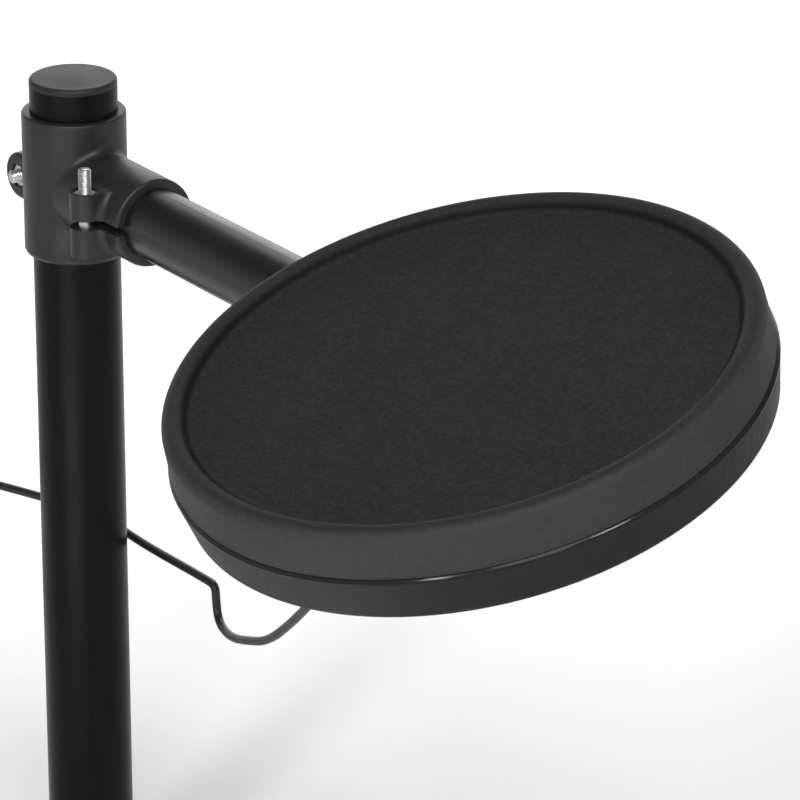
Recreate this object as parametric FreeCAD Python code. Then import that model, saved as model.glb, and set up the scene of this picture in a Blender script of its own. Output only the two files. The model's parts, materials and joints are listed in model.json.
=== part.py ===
import FreeCAD, Part
import math
import os

# One pad station of an electronic drum kit: rack post, split T clamp, arm, tilting rubber pad and lead.
# Millimetres. Z runs up the post from its lower end, and the arm points along +X.
V = FreeCAD.Vector
X = V(1, 0, 0)
Y = V(0, 1, 0)
Z = V(0, 0, 1)

# Clearances
RUN = 0.05  # radial play of a tube or bolt that turns in its hole
SLACK = 0.3  # play round a piece that only has to drop in
NEAR = 1e-6  # rounding allowed where edges are picked by place
TOUCH = 1e-4  # and where they are picked by the surfaces that meet in them

# Tubes
POST_R = 16.0
ARM_R = 13.0
TUBE_WALL = 1.5
CAP_HEAD = 2.4  # thickness of the end caps outside the tube
CAP_SKIRT = 12.0  # depth of the end caps inside the tube
CAP_ROUND = 1.4
ARM_Z = 300.0  # height of the arm's axis
POST_ABOVE = 38.0  # post above the arm's axis, without its cap
POST_SOCKET = 40.0  # end of the post that goes into the rack's foot
POST_MARK_W = 1.0  # scored ring at that depth
POST_MARK_DEEP = 0.3
ARM_START = 24.0  # the arm's inner end, from the post's axis
ARM_PAST_PAD = 34.0  # the arm's outer end, past the pad's bracket

# T clamp
SLEEVE_WALL = 3.0
SLEEVE_UP = 28.0
SLEEVE_DOWN = 26.0
SLEEVE_TOP_ROUND = 1.0
SLEEVE_LOW_ROUND = 2.4
BRANCH_WALL = 3.3
BRANCH_REACH = 52.8
MOUTH_ROUND = 1.2
ROOT_FILLET = 3.5
SLIT = 3.4
BOSS_INSET = 15.8  # bolt column back from the branch's mouth
BOSS_R = 5.6
BOSS_UP = 11.6
BOSS_DOWN = 12.4
BOSS_FILLET = 3.0
LUG_R = 8.6
LUG_HALF = 11.0
LUG_Z = -1.7  # lug below the arm's axis
LUG_ROUND = 1.5

# Clamp bolts
BOLT_R = 2.4
BOLT_HOLE_PLAY = 0.25
BOLT_BESIDE = 0.4  # room between a bolt and the wall that it passes
BOLT_CHAMFER = 0.5
ARM_BOLT_END = 8.4  # bare end past the boss
POST_BOLT_END = 3.0  # bare end past the lug
BOLT_HEAD_R = 4.2
BOLT_HEAD_H = 5.0
BOLT_HEAD_ROUND = 0.5
BOLT_SOCKET = 4.0
BOLT_SOCKET_DEEP = 2.6
NUT_FLATS = 8.0
NUT_H = 4.0
SUNK = 0.8  # how deep nuts and bolt heads lie in their pockets

# Pad
PAD_X = 293.0  # pad's bracket along the arm
PAD_OFF = 30.8  # pad's centre beside the arm, on the low side
TILT = 16.4  # degrees about the arm at rest
SADDLE_CROWN = 4.6  # bracket between the arm and the base
RIM_R = 96.0  # outside of the rubber rim
RIM_ROUND = 4.0
RIM_RISE = 3.84  # rim above the playing face
RIM_BLEND = 5.0  # hollow between the playing face and the rim
RIM_LEAN = 55.0  # slope of the rim's inner side, degrees
RUBBER_H = 16.2
RUBBER_TOP = 3.2
SKIRT_FLARE = 0.6
BASE_H = 16.1
BASE_LIP = 0.9  # base stands out past the rubber at the seam
BASE_BEVEL = 1.1  # height of the bevel on that lip
BASE_BEVEL_CROWN = 0.06
BASE_DRAFT = 2.4
BASE_ROUND = 3.0
BASE_WALL = 3.0
BASE_FLOOR = 3.0
RING_WALL = 3.0
RING_GAP = 1.6
PLATE_H = 2.0
PLATE_PLAY = 0.5
RIB_COUNT = 8
RIB_THICK = 2.0
RIB_H = 8.0
HUB_R = 20.0
GROOVE_INSET = 12.8  # groove under the base, in from the plate's ring
GROOVE_W = 2.0
GROOVE_DEEP = 0.8
SCREW_COUNT = 6
SCREW_INSET = 20.8  # plate screws, in from the plate's ring
SCREW_R = 1.6
SCREW_HEAD_R = 3.2
SCREW_HEAD_H = 2.2
SCREW_BOSS_R = 4.5
SCREW_BITE = 1.2  # how far the screws go into the plate
CUSHION_R = 12.0
CUSHION_H = 3.0
SENSOR_R = 13.5
SENSOR_H = 0.6
CRYSTAL_R = 9.5
LEAD_R = 0.7

# Pad bracket on the arm
SADDLE_HALF_X = 24.0
SADDLE_WALL_R = 17.6
SADDLE_PART = 1.5  # gap between the two halves
FLANGE_H = 4.0
FLANGE_HALF_Y = 36.0
FLANGE_CORNER = 6.0
FLANGE_SCREW_X = 16.0
FLANGE_SCREW_Y = 30.5
GUSSET = 2.6
EAR_HALF_X = 9.0
WING_R = 3.0
WING_CHAMFER = 0.6
WING_NUT_FLATS = 10.0
WING_NUT_H = 5.0
WING_HUB_R = 6.0
WING_HUB_LOW_R = 4.8
WING_HUB_H = 7.0
WING_SPAN = 15.0
WING_THICK = 2.6
WING_TALL = 12.0
WING_ROUND = 3.0

# Jack and plug
JACK_X = -60.0  # from the pad's centre
JACK_Y = -20.0
JACK_BUSH_R = 3.0
JACK_BODY = 9.0
JACK_NUT_FLATS = 8.0
JACK_NUT_H = 2.5
JACK_BODY_H = 14.5
PLUG_R = 1.75
PLUG_LONG = 14.0
PLUG_TIP = 2.6
PLUG_NECK = 0.5
PLUG_BODY_R = 4.6
PLUG_BODY_L = 20.0
PLUG_REAR_R = 3.9
PLUG_REAR_L = 5.0
BOOT_L = 16.0
BOOT_R = 3.4
BOOT_END_R = 2.2
BOOT_CORE_R = 1.9  # under the grooves
BOOT_GROOVES = 4
BOOT_GROOVE = 1.2

# Lead
LEAD_CORD_R = 1.6
LEAD_STRAIGHT = 14.0  # first stretch, in line with the boot
CORD_BEND = 0.45  # share of the shorter run that an arc takes

# Sizes that follow
sleeve_r = POST_R + SLEEVE_WALL
branch_r = ARM_R + BRANCH_WALL
arm_end = PAD_X + ARM_PAST_PAD
arm_bolt_x = BRANCH_REACH - BOSS_INSET
arm_bolt_y = -(branch_r + BOLT_R + BOLT_BESIDE)
post_bolt_x = -(sleeve_r + BOLT_R + 2 * BOLT_BESIDE)
wing_bolt_y = SADDLE_WALL_R + BOLT_BESIDE + WING_R / 2
ear_half_y = wing_bolt_y + WING_HUB_R
ear_down = SADDLE_WALL_R + SLACK
base_low = ARM_R + SADDLE_CROWN
seam = base_low + BASE_H
crest = seam + RUBBER_H
face_z = crest - RIM_RISE
plate_top = face_z - RUBBER_TOP
plate_low = plate_top - PLATE_H
skirt_r = RIM_R - BASE_WALL - SKIRT_FLARE
plate_r = skirt_r - PLATE_PLAY
base_top_r = RIM_R + SKIRT_FLARE + BASE_LIP
base_floor_z = base_low + BASE_FLOOR
nut_pocket = NUT_H + SUNK
head_pocket = BOLT_HEAD_H + SUNK
ring_r = skirt_r - RING_GAP
screw_circle = ring_r - SCREW_INSET
groove_r = ring_r - GROOVE_INSET


def cyl(radius, length, start, axis):
    return Part.makeCylinder(radius, length, V(*start), axis)


def box(x0, x1, y0, y1, z0, z1):
    return Part.makeBox(x1 - x0, y1 - y0, z1 - z0, V(x0, y0, z0))


def fuse(shapes):
    return shapes[0].multiFuse(shapes[1:]).removeSplitter()


def cut(shape, tools):
    for tool in tools:
        shape = shape.cut(tool)
    return shape


def hexagon(flats, length, start, axis):
    """A hexagonal prism along an axis, of a width across its flats."""
    radius = flats / math.sqrt(3)
    corners = [
        V(radius * math.cos(math.radians(60 * k)), radius * math.sin(math.radians(60 * k)), 0)
        for k in range(7)
    ]
    prism = Part.Face(Part.makePolygon(corners)).extrude(V(0, 0, length))
    turn = FreeCAD.Rotation(Z, axis)
    prism.Placement = FreeCAD.Placement(V(*start), turn)
    return prism


def circle_edges(shape, radius, place, axis):
    """The round edges of a radius that lie at a place along an axis."""
    found = []
    for edge in shape.Edges:
        curve = edge.Curve
        if isinstance(curve, Part.Circle) and abs(curve.Radius - radius) < NEAR:
            if abs(curve.Center.dot(axis) - place) < NEAR:
                found.append(edge)
    return found


def edges_along(shape, axis):
    """The straight edges of a box that run along an axis."""
    return [e for e in shape.Edges if abs(e.tangentAt(e.FirstParameter).dot(axis)) > 1 - NEAR]


def line(a, b):
    return Part.LineSegment(V(a[0], 0, a[1]), V(b[0], 0, b[1])).toShape()


def arc(a, middle, b):
    return Part.Arc(V(a[0], 0, a[1]), V(middle[0], 0, middle[1]), V(b[0], 0, b[1])).toShape()


def polar(centre, radius, degrees):
    angle = math.radians(degrees)
    return (centre[0] + radius * math.cos(angle), centre[1] + radius * math.sin(angle))


def spin(edges):
    """A closed profile in radius and height, turned about Z."""
    return Part.Face(Part.Wire(edges)).revolve(V(0, 0, 0), Z, 360)


def polygon_spin(points):
    return spin([line(a, b) for a, b in zip(points, points[1:] + points[:1])])


def at_clamp(shape):
    shape.translate(V(0, 0, ARM_Z))
    return shape


def on_arm(shape):
    """From the bracket's own frame, level on the arm's axis, to its tilted place."""
    shape.rotate(V(0, 0, 0), X, TILT)
    shape.translate(V(PAD_X, 0, ARM_Z))
    return shape


def on_pad(shape):
    """From the pad's centre to the bracket's frame and its tilted place."""
    shape.translate(V(0, -PAD_OFF, 0))
    return on_arm(shape)


# Tubes and their caps


def end_cap(tube_r):
    """A moulded plug on the end of a tube, head up, with its underside at zero."""
    inner = tube_r - TUBE_WALL - RUN
    head = cyl(tube_r, CAP_HEAD, (0, 0, 0), Z)
    head = head.makeFillet(CAP_ROUND, circle_edges(head, tube_r, CAP_HEAD, Z))
    skirt = cyl(inner, CAP_SKIRT, (0, 0, -CAP_SKIRT), Z)
    hollow = cyl(inner - TUBE_WALL, CAP_SKIRT, (0, 0, -CAP_SKIRT), Z)
    return cut(fuse([head, skirt]), [hollow])


def make_post_tube():
    """The rack post, with a scored ring that shows how deep its end goes into the foot."""
    tall = ARM_Z + POST_ABOVE
    mark = cyl(2 * POST_R, POST_MARK_W, (0, 0, POST_SOCKET), Z).cut(
        cyl(POST_R - POST_MARK_DEEP, POST_MARK_W, (0, 0, POST_SOCKET), Z)
    )
    return cut(cyl(POST_R, tall, (0, 0, 0), Z), [cyl(POST_R - TUBE_WALL, tall, (0, 0, 0), Z), mark])


def make_post_cap():
    cap = end_cap(POST_R)
    cap.translate(V(0, 0, ARM_Z + POST_ABOVE))
    return cap


def make_arm_tube():
    long = arm_end - ARM_START
    tube = cyl(ARM_R, long, (ARM_START, 0, 0), X)
    return at_clamp(tube.cut(cyl(ARM_R - TUBE_WALL, long, (ARM_START, 0, 0), X)))


def make_arm_cap():
    cap = end_cap(ARM_R)
    cap.Placement = FreeCAD.Placement(V(arm_end, 0, ARM_Z), FreeCAD.Rotation(Z, X))
    return cap


# T clamp


def clamp_sleeves():
    """The two crossing sleeves with a fillet where they meet."""
    sleeve = cyl(sleeve_r, SLEEVE_UP + SLEEVE_DOWN, (0, 0, -SLEEVE_DOWN), Z)
    branch = cyl(branch_r, BRANCH_REACH, (0, 0, 0), X)
    body = fuse([sleeve, branch])
    crossing = [e for e in body.Edges if isinstance(e.Curve, Part.BSplineCurve)]
    body = body.makeFillet(ROOT_FILLET, crossing)
    body = body.makeFillet(SLEEVE_TOP_ROUND, circle_edges(body, sleeve_r, SLEEVE_UP, Z))
    body = body.makeFillet(SLEEVE_LOW_ROUND, circle_edges(body, sleeve_r, -SLEEVE_DOWN, Z))
    return body.makeFillet(MOUTH_ROUND, circle_edges(body, branch_r, BRANCH_REACH, X))


def clamp_boss():
    """The ears of the arm's slit: a bolt column on the near side of the branch."""
    tall = BOSS_UP + BOSS_DOWN
    column = cyl(BOSS_R, tall, (arm_bolt_x, arm_bolt_y, -BOSS_DOWN), Z)
    web = box(arm_bolt_x - BOSS_R, arm_bolt_x + BOSS_R, arm_bolt_y, -ARM_R / 2, -BOSS_DOWN, BOSS_UP)
    return fuse([column, web])


def clamp_lug():
    """The ears of the post's slit, on the side away from the arm."""
    wide = 2 * LUG_HALF
    lug = fuse([
        cyl(LUG_R, wide, (post_bolt_x, -LUG_HALF, LUG_Z), Y),
        box(post_bolt_x, -POST_R / 2, -LUG_HALF, LUG_HALF, LUG_Z - LUG_R, LUG_Z + LUG_R),
    ])
    ends = circle_edges(lug, LUG_R, -LUG_HALF, Y) + circle_edges(lug, LUG_R, LUG_HALF, Y)
    return lug.makeFillet(LUG_ROUND, ends)


def meeting_edges(body, first, second):
    """The edges of a fused body that lie on both of its parts."""
    found = []
    for edge in body.Edges:
        middle = Part.Vertex(edge.valueAt((edge.FirstParameter + edge.LastParameter) / 2))
        if max(part.Shells[0].distToShape(middle)[0] for part in (first, second)) < TOUCH:
            found.append(edge)
    return found


def make_clamp_body():
    """The moulded T: sleeves, boss and lug with their bores, slits, bolt holes and pockets."""
    tall = SLEEVE_UP + SLEEVE_DOWN
    hole = BOLT_R + BOLT_HOLE_PLAY
    across = NUT_FLATS + SLACK
    head = BOLT_HEAD_R + SLACK
    sleeves = clamp_sleeves()
    boss = clamp_boss()
    body = fuse([sleeves, boss])
    body = body.makeFillet(BOSS_FILLET, meeting_edges(body, sleeves, boss))
    body = fuse([body, clamp_lug()])
    body = cut(body, [
        cyl(POST_R + RUN, tall, (0, 0, -SLEEVE_DOWN), Z),
        cyl(ARM_R + RUN, BRANCH_REACH, (ARM_START - SLACK, 0, 0), X),
        box(post_bolt_x - 2 * LUG_R, 0, -SLIT / 2, SLIT / 2, -SLEEVE_DOWN, SLEEVE_UP),
        box(ARM_START, 2 * BRANCH_REACH, arm_bolt_y - 2 * BOSS_R, 0, -SLIT / 2, SLIT / 2),
        cyl(hole, BOSS_UP + BOSS_DOWN, (arm_bolt_x, arm_bolt_y, -BOSS_DOWN), Z),
        cyl(head, head_pocket, (arm_bolt_x, arm_bolt_y, -BOSS_DOWN), Z),
        hexagon(across, nut_pocket, (arm_bolt_x, arm_bolt_y, BOSS_UP - nut_pocket), Z),
        cyl(hole, 2 * LUG_HALF, (post_bolt_x, -LUG_HALF, LUG_Z), Y),
        cyl(head, head_pocket, (post_bolt_x, LUG_HALF - head_pocket, LUG_Z), Y),
        hexagon(across, nut_pocket, (post_bolt_x, nut_pocket - LUG_HALF, LUG_Z), -Y),
    ])
    return at_clamp(body)


def clamp_bolt(long):
    """A socket bolt along +Z whose head rests at zero."""
    shank = cyl(BOLT_R, long, (0, 0, 0), Z)
    shank = shank.makeChamfer(BOLT_CHAMFER, circle_edges(shank, BOLT_R, long, Z))
    head = cyl(BOLT_HEAD_R, BOLT_HEAD_H, (0, 0, -BOLT_HEAD_H), Z)
    head = head.makeFillet(BOLT_HEAD_ROUND, circle_edges(head, BOLT_HEAD_R, -BOLT_HEAD_H, Z))
    return cut(fuse([head, shank]), [hexagon(BOLT_SOCKET, BOLT_SOCKET_DEEP, (0, 0, -BOLT_HEAD_H), Z)])


def nut(flats, height, bolt_r):
    """A hexagon nut from zero up, with its corners turned off."""
    round_off = Part.makeCone(flats / 2 + height, flats / 2, height, V(0, 0, 0), Z)
    return hexagon(flats, height, (0, 0, 0), Z).common(round_off).cut(cyl(bolt_r + RUN, height, (0, 0, 0), Z))


def set_on(shape, start, axis):
    shape.Placement = FreeCAD.Placement(V(*start), FreeCAD.Rotation(Z, axis))
    return at_clamp(shape)


def clamp_fasteners():
    """Both clamp bolts, heads in their pockets, and the captive nuts."""
    arm_head = head_pocket - BOSS_DOWN
    arm_long = BOSS_UP + ARM_BOLT_END - arm_head
    post_head = LUG_HALF - head_pocket
    post_long = post_head + LUG_HALF + POST_BOLT_END
    arm_nut = (arm_bolt_x, arm_bolt_y, BOSS_UP - nut_pocket)
    post_nut = (post_bolt_x, nut_pocket - LUG_HALF, LUG_Z)
    return {
        "arm_clamp_bolt": set_on(clamp_bolt(arm_long), (arm_bolt_x, arm_bolt_y, arm_head), Z),
        "arm_clamp_nut": set_on(nut(NUT_FLATS, NUT_H, BOLT_R), arm_nut, Z),
        "post_clamp_bolt": set_on(clamp_bolt(post_long), (post_bolt_x, post_head, LUG_Z), -Y),
        "post_clamp_nut": set_on(nut(NUT_FLATS, NUT_H, BOLT_R), post_nut, -Y),
    }


# Pad


def rim_profile():
    """The centres of the rim's bead and of the hollow beside it, and the slope that joins them."""
    bead = (RIM_R - RIM_ROUND, crest - RIM_ROUND)
    slope_top = polar(bead, RIM_ROUND, RIM_LEAN + 90)
    level = face_z + RIM_BLEND
    slope_low_z = polar((0, level), RIM_BLEND, RIM_LEAN - 90)[1]
    slope_low_r = slope_top[0] - (slope_top[1] - slope_low_z) / math.tan(math.radians(RIM_LEAN))
    hollow = (slope_low_r - RIM_BLEND * math.sin(math.radians(RIM_LEAN)), level)
    return bead, hollow, slope_top, (slope_low_r, slope_low_z)


def make_pad_face():
    """The flat of the rubber head, as far as the hollow beside the rim."""
    hollow = rim_profile()[1]
    return on_pad(cyl(hollow[0], RUBBER_TOP, (0, 0, plate_top), Z))


def make_pad_rim():
    """The rest of the rubber head: hollow, raised rim and skirt, as one turned profile."""
    bead, hollow, slope_top, slope_low = rim_profile()
    face_edge = (hollow[0], face_z)
    wall_top = polar(bead, RIM_ROUND, 0)
    wall_low = (RIM_R + SKIRT_FLARE, seam)
    return on_pad(spin([
        line((hollow[0], plate_top), face_edge),
        arc(face_edge, polar(hollow, RIM_BLEND, RIM_LEAN / 2 - 90), slope_low),
        line(slope_low, slope_top),
        arc(slope_top, polar(bead, RIM_ROUND, 90), wall_top),
        line(wall_top, wall_low),
        line(wall_low, (skirt_r, seam)),
        line((skirt_r, seam), (skirt_r, plate_top)),
        line((skirt_r, plate_top), (hollow[0], plate_top)),
    ]))


def make_pad_plate():
    plate = cyl(plate_r, PLATE_H, (0, 0, plate_low), Z)
    holes = [cyl(SCREW_R, SCREW_BITE, (x, y, plate_low), Z) for x, y in screw_places()]
    return on_pad(cut(plate, holes))


def screw_places():
    step = 360.0 / SCREW_COUNT
    return [polar((0, 0), screw_circle, step * (k + 0.5)) for k in range(SCREW_COUNT)]


def flange_places():
    """The bracket's screws, in the bracket's own frame."""
    return [(sx * FLANGE_SCREW_X, sy * FLANGE_SCREW_Y) for sx in (-1, 1) for sy in (-1, 1)]


def base_shell():
    """The turned tray: floor, drafted wall with a bevelled lip, and the ring that carries the plate."""
    foot_r = base_top_r - BASE_DRAFT
    foot = (foot_r - BASE_ROUND, base_low + BASE_ROUND)
    lip_in = (base_top_r - BASE_LIP, seam)
    lip_out = (base_top_r, seam - BASE_BEVEL)
    swell = BASE_BEVEL_CROWN / math.hypot(BASE_LIP, BASE_BEVEL)
    crown = (
        (lip_in[0] + lip_out[0]) / 2 + swell * BASE_BEVEL,
        (lip_in[1] + lip_out[1]) / 2 + swell * BASE_LIP,
    )
    inner = base_top_r - BASE_DRAFT - BASE_WALL
    ring_in = ring_r - RING_WALL
    points = [
        lip_in,
        (inner, seam),
        (inner, base_floor_z),
        (ring_r, base_floor_z),
        (ring_r, plate_low),
        (ring_in, plate_low),
        (ring_in, base_floor_z),
        (0, base_floor_z),
        (0, base_low),
        (foot[0], base_low),
    ]
    wall_low = polar(foot, BASE_ROUND, 0)
    edges = [line(a, b) for a, b in zip(points, points[1:])]
    edges.append(arc(points[-1], polar(foot, BASE_ROUND, -45), wall_low))
    edges.append(line(wall_low, lip_out))
    edges.append(arc(lip_out, crown, lip_in))
    return spin(edges)


def base_ribs():
    """The radial ribs and the hub ring on the floor."""
    half = RIB_THICK / 2
    top = base_floor_z + RIB_H
    hub = cyl(HUB_R, RIB_H, (0, 0, base_floor_z), Z).cut(
        cyl(HUB_R - RIB_THICK, RIB_H, (0, 0, base_floor_z), Z)
    )
    ribs = [hub]
    for k in range(RIB_COUNT):
        rib = box(HUB_R - half, ring_r - RING_WALL / 2, -half, half, base_floor_z, top)
        rib.rotate(V(0, 0, 0), Z, 360.0 * k / RIB_COUNT)
        ribs.append(rib)
    return ribs


def make_pad_base():
    plate_posts = [
        cyl(SCREW_BOSS_R, plate_low - base_floor_z, (x, y, base_floor_z), Z) for x, y in screw_places()
    ]
    flange_posts = [
        cyl(SCREW_BOSS_R, RIB_H, (x, y + PAD_OFF, base_floor_z), Z) for x, y in flange_places()
    ]
    shell = fuse([base_shell()] + base_ribs() + plate_posts + flange_posts)
    groove = cyl(groove_r, GROOVE_DEEP, (0, 0, base_low), Z).cut(
        cyl(groove_r - GROOVE_W, GROOVE_DEEP, (0, 0, base_low), Z)
    )
    tools = [groove, cyl(JACK_BUSH_R + RUN, BASE_FLOOR, (JACK_X, JACK_Y, base_low), Z)]
    half = JACK_BODY / 2 + SLACK
    tools.append(box(
        JACK_X - half, JACK_X + half, JACK_Y - half, JACK_Y + half, base_floor_z, plate_low
    ))
    for x, y in screw_places():
        tools.append(cyl(SCREW_R, plate_low - base_low, (x, y, base_low), Z))
        tools.append(cyl(SCREW_HEAD_R + SLACK, SCREW_HEAD_H, (x, y, base_low), Z))
    for x, y in flange_places():
        tools.append(cyl(SCREW_R, BASE_FLOOR + RIB_H / 2, (x, y + PAD_OFF, base_low), Z))
    return on_pad(cut(shell, tools))


def pan_screw(long):
    """A screw along +Z with its head from minus its height to zero and a cross recess."""
    head = cyl(SCREW_HEAD_R, SCREW_HEAD_H, (0, 0, -SCREW_HEAD_H), Z)
    head = head.makeFillet(SCREW_HEAD_H / 2, circle_edges(head, SCREW_HEAD_R, -SCREW_HEAD_H, Z))
    reach = SCREW_HEAD_R / 2
    thin = SCREW_R / 4
    slots = [
        box(-reach, reach, -thin, thin, -SCREW_HEAD_H, -SCREW_HEAD_H / 2),
        box(-thin, thin, -reach, reach, -SCREW_HEAD_H, -SCREW_HEAD_H / 2),
    ]
    return cut(fuse([head, cyl(SCREW_R, long, (0, 0, 0), Z)]), slots)


def base_screws():
    made = {}
    for k, (x, y) in enumerate(screw_places(), 1):
        screw = pan_screw(plate_low + SCREW_BITE - base_low - SCREW_HEAD_H)
        screw.translate(V(x, y, base_low + SCREW_HEAD_H))
        made["base_screw_%d" % k] = on_pad(screw)
    return made


def make_sensor_cushion():
    return on_pad(cyl(CUSHION_R, CUSHION_H, (0, 0, plate_low - CUSHION_H), Z))


def make_sensor_disc():
    low = plate_low - CUSHION_H - SENSOR_H
    disc = cyl(SENSOR_R, SENSOR_H, (0, 0, low), Z)
    return on_pad(fuse([disc, cyl(CRYSTAL_R, SENSOR_H / 2, (0, 0, low - SENSOR_H / 2), Z)]))


def make_sensor_lead():
    """The lead from the sensor's underside over the ribs to the jack, as one round-cornered tube."""
    sensor_low = plate_low - CUSHION_H - 1.5 * SENSOR_H
    run_z = base_floor_z + RIB_H + 2 * LEAD_R
    side = JACK_X + JACK_BODY / 2
    start = V(-CRYSTAL_R / 2, 0, sensor_low)
    under = V(-CRYSTAL_R / 2, 0, run_z)
    over = V(side + 4 * LEAD_R, JACK_Y, run_z)
    end = V(side, JACK_Y, run_z - LEAD_R)
    return on_pad(cord_tube([start, under, over, end], LEAD_R))


# Pad bracket on the arm


def make_bracket_saddle():
    """The upper half: flange on the base, half bore for the arm, ears with nut pockets and gussets."""
    part = SADDLE_PART / 2
    flange = box(-SADDLE_HALF_X, SADDLE_HALF_X, -FLANGE_HALF_Y, FLANGE_HALF_Y, base_low - FLANGE_H, base_low)
    flange = flange.makeFillet(FLANGE_CORNER, edges_along(flange, Z))
    shapes = [flange]
    shapes.append(box(-SADDLE_HALF_X, SADDLE_HALF_X, -SADDLE_WALL_R, SADDLE_WALL_R, part, base_low))
    shapes.append(box(-EAR_HALF_X, EAR_HALF_X, -ear_half_y, ear_half_y, part, base_low))
    for sx in (-1, 1):
        for sy in (-1, 1):
            shapes.append(gusset(sx * (SADDLE_HALF_X - 2 * GUSSET), sy))
    body = fuse(shapes)
    pocket = WING_NUT_FLATS + SLACK
    tools = [cyl(ARM_R + RUN, 2 * SADDLE_HALF_X, (-SADDLE_HALF_X, 0, 0), X)]
    for sy in (-1, 1):
        y = sy * wing_bolt_y
        tools.append(cyl(WING_R + BOLT_HOLE_PLAY, base_low, (0, y, 0), Z))
        tools.append(hexagon(pocket, WING_NUT_H + FLANGE_H, (0, y, base_low - WING_NUT_H - FLANGE_H), Z))
    for x, y in flange_places():
        tools.append(cyl(SCREW_R + BOLT_HOLE_PLAY, FLANGE_H, (x, y, base_low - FLANGE_H), Z))
    return on_arm(cut(body, tools))


def gusset(x, sy):
    """A triangular web between the saddle's side and the flange."""
    low = SADDLE_PART / 2
    top = base_low - FLANGE_H
    corners = [
        V(x - GUSSET / 2, sy * SADDLE_WALL_R, low),
        V(x - GUSSET / 2, sy * SADDLE_WALL_R, top),
        V(x - GUSSET / 2, sy * (FLANGE_SCREW_Y - SCREW_HEAD_R - SLACK), top),
    ]
    return Part.Face(Part.makePolygon(corners + corners[:1])).extrude(V(GUSSET, 0, 0))


def make_bracket_cap():
    """The lower half: a half ring under the arm with two ears."""
    part = SADDLE_PART / 2
    ring = cyl(SADDLE_WALL_R, 2 * SADDLE_HALF_X, (-SADDLE_HALF_X, 0, 0), X)
    ears = box(-EAR_HALF_X, EAR_HALF_X, -ear_half_y, ear_half_y, -ear_down, -part)
    ears = ears.makeFillet(FLANGE_CORNER, edges_along(ears, Z))
    body = fuse([ring, ears])
    tools = [
        box(-SADDLE_HALF_X, SADDLE_HALF_X, -SADDLE_WALL_R, SADDLE_WALL_R, -part, SADDLE_WALL_R),
        cyl(ARM_R + RUN, 2 * SADDLE_HALF_X, (-SADDLE_HALF_X, 0, 0), X),
    ]
    for sy in (-1, 1):
        tools.append(cyl(WING_R + BOLT_HOLE_PLAY, ear_down, (0, sy * wing_bolt_y, -ear_down), Z))
    return on_arm(cut(body, tools))


def wing_bolt():
    """A hand bolt along +Z with its shoulder at zero, a hub below and two wings."""
    long = ear_down + base_low - SLACK
    shank = cyl(WING_R, long, (0, 0, 0), Z)
    shank = shank.makeChamfer(WING_CHAMFER, circle_edges(shank, WING_R, long, Z))
    hub = Part.makeCone(WING_HUB_LOW_R, WING_HUB_R, WING_HUB_H, V(0, 0, -WING_HUB_H), Z)
    blade = box(-WING_SPAN, WING_SPAN, -WING_THICK / 2, WING_THICK / 2, -WING_TALL, -WING_THICK)
    blade = blade.makeFillet(WING_ROUND, edges_along(blade, Y))
    notch = cyl(WING_HUB_R, 2 * WING_THICK, (0, -WING_THICK, -WING_TALL - WING_HUB_R / 3), Y)
    return fuse([shank, hub, blade.cut(notch)])


def wing_bolts():
    made = {}
    for k, sy in enumerate((-1, 1), 1):
        bolt = wing_bolt()
        bolt.translate(V(0, sy * wing_bolt_y, -ear_down))
        made["wing_bolt_%d" % k] = on_arm(bolt)
        captive = nut(WING_NUT_FLATS, WING_NUT_H, WING_R)
        captive.translate(V(0, sy * wing_bolt_y, base_low - WING_NUT_H - FLANGE_H))
        made["bracket_nut_%d" % k] = on_arm(captive)
    return made


def flange_screws():
    made = {}
    for k, (x, y) in enumerate(flange_places(), 1):
        screw = pan_screw(FLANGE_H + BASE_FLOOR + RIB_H / 2)
        screw.translate(V(x, y, base_low - FLANGE_H))
        made["bracket_screw_%d" % k] = on_arm(screw)
    return made


# Jack, plugs and lead


def make_jack_socket():
    half = JACK_BODY / 2
    body = box(-half, half, -half, half, 0, JACK_BODY_H)
    bush = cyl(JACK_BUSH_R, BASE_FLOOR + JACK_NUT_H, (0, 0, -BASE_FLOOR - JACK_NUT_H), Z)
    bore = cyl(PLUG_R + RUN, PLUG_LONG + SLACK, (0, 0, -BASE_FLOOR - JACK_NUT_H), Z)
    jack = cut(fuse([body, bush]), [bore])
    jack.translate(V(JACK_X, JACK_Y, base_floor_z))
    return on_pad(jack)


def make_jack_nut():
    ring = nut(JACK_NUT_FLATS, JACK_NUT_H, JACK_BUSH_R)
    ring.rotate(V(0, 0, 0), X, 180)
    ring.translate(V(JACK_X, JACK_Y, base_low))
    return on_pad(ring)


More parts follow.
